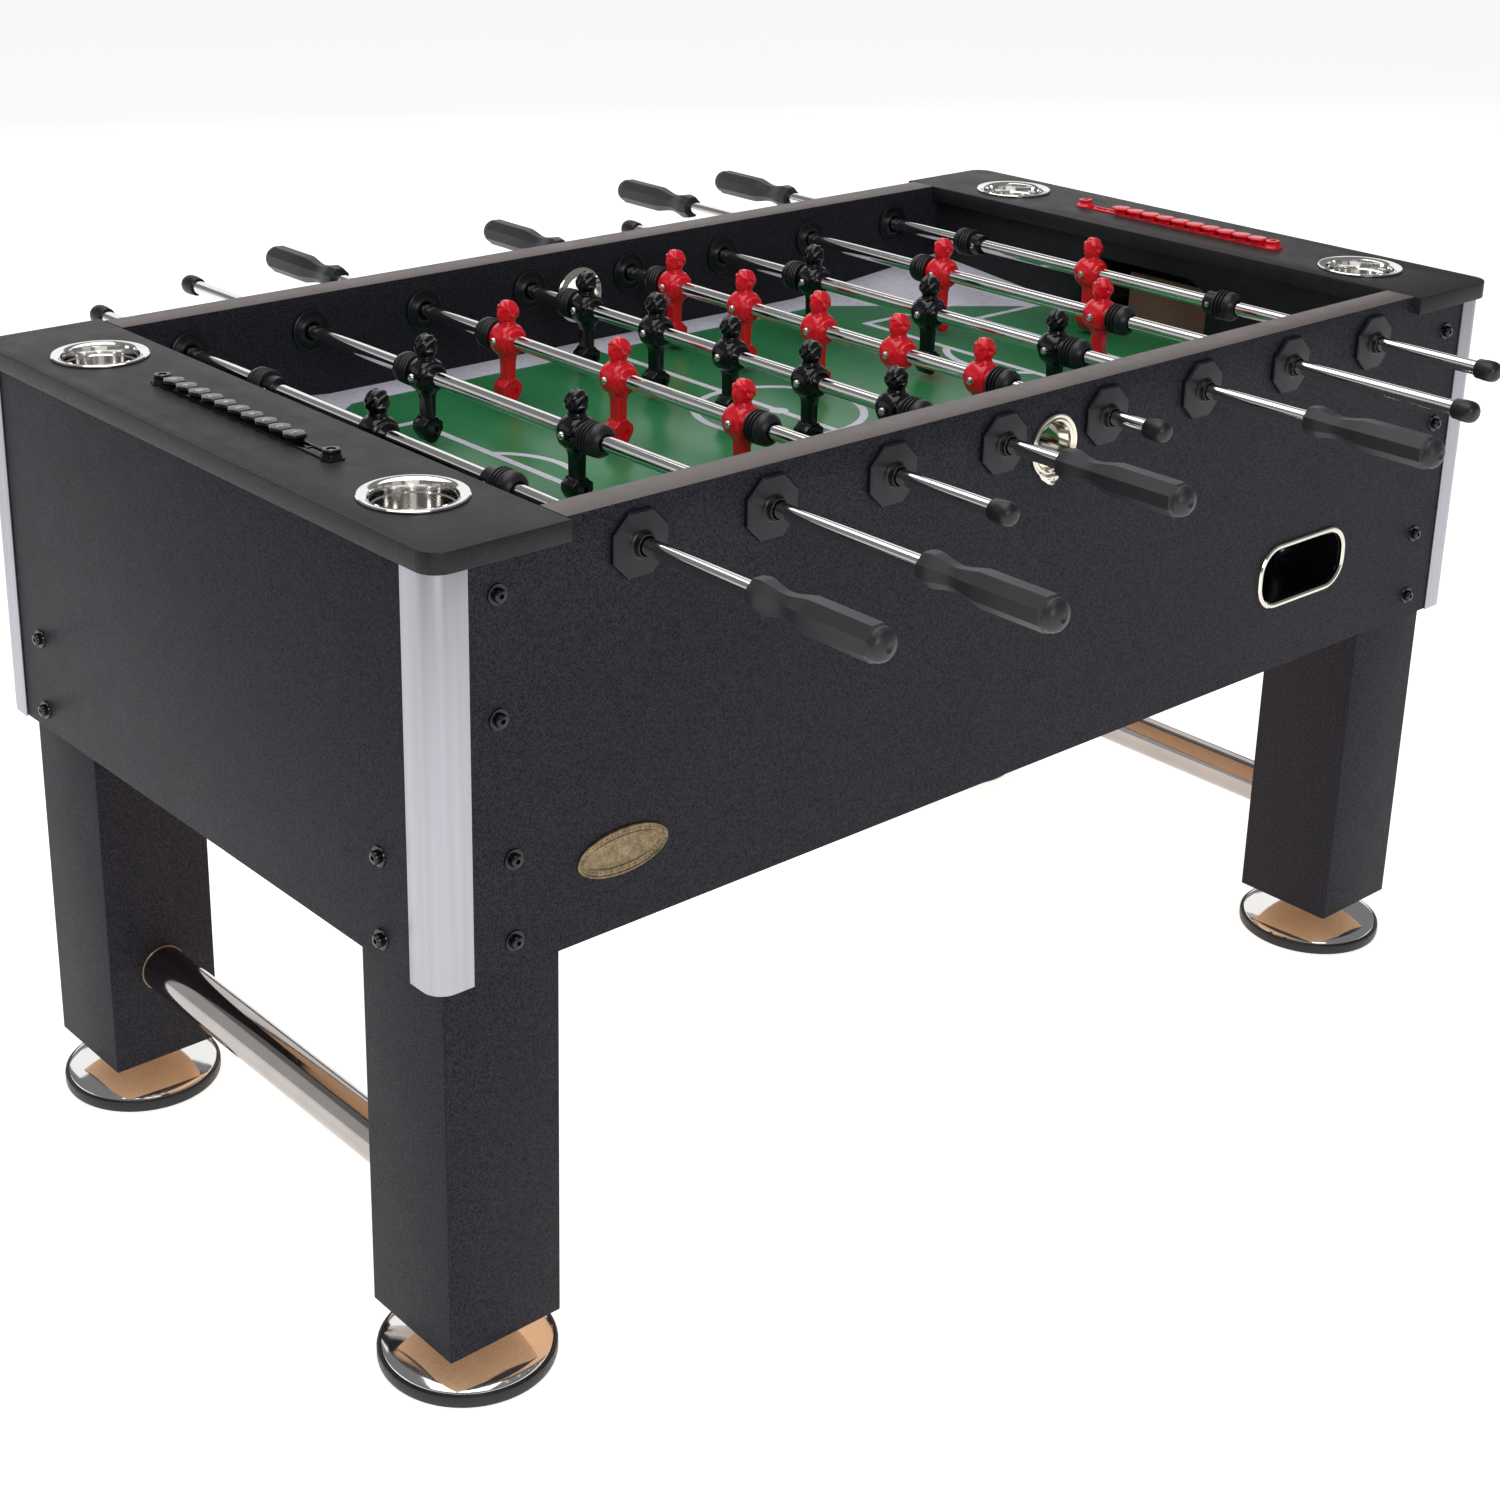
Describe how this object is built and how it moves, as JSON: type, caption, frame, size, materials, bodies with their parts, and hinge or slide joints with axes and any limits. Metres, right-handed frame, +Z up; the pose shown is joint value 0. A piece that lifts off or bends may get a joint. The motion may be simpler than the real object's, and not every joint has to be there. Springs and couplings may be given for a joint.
{
  "type": "foosball table",
  "caption": "Dark laminate foosball table on square legs with adjustable feet, sliding and turning player rods, bead scorers, cup holders, serving cups and ball returns.",
  "frame": {"origin": "on the floor under the centre of the cabinet", "axes": "+X along the table towards the red scorer, +Y across it towards the back, +Z up"},
  "size_m": [1.51, 1.491, 0.868],
  "materials": {
    "laminate": "matte leather-grain black laminate on board",
    "cap_laminate": "charcoal-brown matte laminate with darker edges",
    "field": "printed green playing surface with white lines",
    "mdf": "raw board",
    "chrome": "polished",
    "aluminium": "satin, lengthwise brushed",
    "black_plastic": "gloss black moulding",
    "red_plastic": "gloss red moulding",
    "rubber": "satin black rubber",
    "grip": "dark grey eight-sided grip"
  },
  "bodies": {
    "cabinet": {"side_panel_front": "laminate", "side_panel_back": "laminate", "end_panel_left": "laminate", "goal_wall_left": "black_plastic", "top_cap_left": "cap_laminate", "end_panel_right": "laminate", "goal_wall_right": "black_plastic", "top_cap_right": "cap_laminate", "playfield": "field", "bottom_board": "mdf", "corner_trim_front_left": "aluminium", "leg_front_left": "laminate", "foot_front_left": "chrome", "cup_holder_front_left": "chrome", "corner_trim_front_right": "aluminium", "leg_front_right": "laminate", "foot_front_right": "chrome", "cup_holder_front_right": "chrome", "corner_trim_back_left": "aluminium", "leg_back_left": "laminate", "foot_back_left": "chrome", "cup_holder_back_left": "chrome", "corner_trim_back_right": "aluminium", "leg_back_right": "laminate", "foot_back_right": "chrome", "cup_holder_back_right": "chrome", "stretcher_left": "chrome", "stretcher_right": "chrome", "ball_return_front": "black_plastic", "serve_cup_front": "chrome", "ball_return_back": "black_plastic", "serve_cup_back": "chrome", "scorer_track_left": "black_plastic", "scorer_track_right": "red_plastic"},
    "left_score_tabs": {"scorer_tabs_left": "black_plastic"},
    "right_score_tabs": {"scorer_tabs_right": "red_plastic"},
    "slider_1": {"bumper_1": "rubber"},
    "player_rod_1": {"rod_1": "black_plastic", "handle_1": "grip"},
    "slider_2": {"bumper_2": "rubber"},
    "player_rod_2": {"rod_2": "black_plastic", "handle_2": "grip"},
    "slider_3": {"bumper_3": "rubber"},
    "player_rod_3": {"rod_3": "red_plastic", "handle_3": "grip"},
    "slider_4": {"bumper_4": "rubber"},
    "player_rod_4": {"rod_4": "black_plastic", "handle_4": "grip"},
    "slider_5": {"bumper_5": "rubber"},
    "player_rod_5": {"rod_5": "red_plastic", "handle_5": "grip"},
    "slider_6": {"bumper_6": "rubber"},
    "player_rod_6": {"rod_6": "black_plastic", "handle_6": "grip"},
    "slider_7": {"bumper_7": "rubber"},
    "player_rod_7": {"rod_7": "red_plastic", "handle_7": "grip"},
    "slider_8": {"bumper_8": "rubber"},
    "player_rod_8": {"rod_8": "red_plastic", "handle_8": "grip"}
  },
  "joints": [
    {"name": "left_score_slide", "type": "slide", "parent": "cabinet", "child": "left_score_tabs", "axis": [0, -1, 0], "range_m": [0, 0.038]},
    {"name": "right_score_slide", "type": "slide", "parent": "cabinet", "child": "right_score_tabs", "axis": [0, 1, 0], "range_m": [0, 0.038]},
    {"name": "rod_1_slide", "type": "slide", "parent": "cabinet", "child": "slider_1", "axis": [0, 1, 0], "range_m": [-0.124, 0.13]},
    {"name": "rod_1_spin", "type": "hinge", "parent": "slider_1", "child": "player_rod_1", "pos_m": [-0.5334, -0.003, 0.818], "axis": [0, 1, 0], "continuous": true},
    {"name": "rod_2_slide", "type": "slide", "parent": "cabinet", "child": "slider_2", "axis": [0, 1, 0], "range_m": [-0.1865, 0.1725]},
    {"name": "rod_2_spin", "type": "hinge", "parent": "slider_2", "child": "player_rod_2", "pos_m": [-0.381, 0.007, 0.818], "axis": [0, 1, 0], "continuous": true},
    {"name": "rod_3_slide", "type": "slide", "parent": "cabinet", "child": "slider_3", "axis": [0, 1, 0], "range_m": [-0.115, 0.109]},
    {"name": "rod_3_spin", "type": "hinge", "parent": "slider_3", "child": "player_rod_3", "pos_m": [-0.2286, 0.003, 0.818], "axis": [0, 1, 0], "continuous": true},
    {"name": "rod_4_slide", "type": "slide", "parent": "cabinet", "child": "slider_4", "axis": [0, 1, 0], "range_m": [-0.053, 0.057]},
    {"name": "rod_4_spin", "type": "hinge", "parent": "slider_4", "child": "player_rod_4", "pos_m": [-0.0762, -0.002, 0.818], "axis": [0, 1, 0], "continuous": true},
    {"name": "rod_5_slide", "type": "slide", "parent": "cabinet", "child": "slider_5", "axis": [0, 1, 0], "range_m": [-0.075, 0.035]},
    {"name": "rod_5_spin", "type": "hinge", "parent": "slider_5", "child": "player_rod_5", "pos_m": [0.0762, 0.02, 0.818], "axis": [0, 1, 0], "continuous": true},
    {"name": "rod_6_slide", "type": "slide", "parent": "cabinet", "child": "slider_6", "axis": [0, 1, 0], "range_m": [-0.107, 0.117]},
    {"name": "rod_6_spin", "type": "hinge", "parent": "slider_6", "child": "player_rod_6", "pos_m": [0.2286, -0.005, 0.818], "axis": [0, 1, 0], "continuous": true},
    {"name": "rod_7_slide", "type": "slide", "parent": "cabinet", "child": "slider_7", "axis": [0, 1, 0], "range_m": [-0.1725, 0.1865]},
    {"name": "rod_7_spin", "type": "hinge", "parent": "slider_7", "child": "player_rod_7", "pos_m": [0.381, -0.007, 0.818], "axis": [0, 1, 0], "continuous": true},
    {"name": "rod_8_slide", "type": "slide", "parent": "cabinet", "child": "slider_8", "axis": [0, 1, 0], "range_m": [-0.138, 0.116]},
    {"name": "rod_8_spin", "type": "hinge", "parent": "slider_8", "child": "player_rod_8", "pos_m": [0.5334, 0.011, 0.818], "axis": [0, 1, 0], "continuous": true}
  ]
}
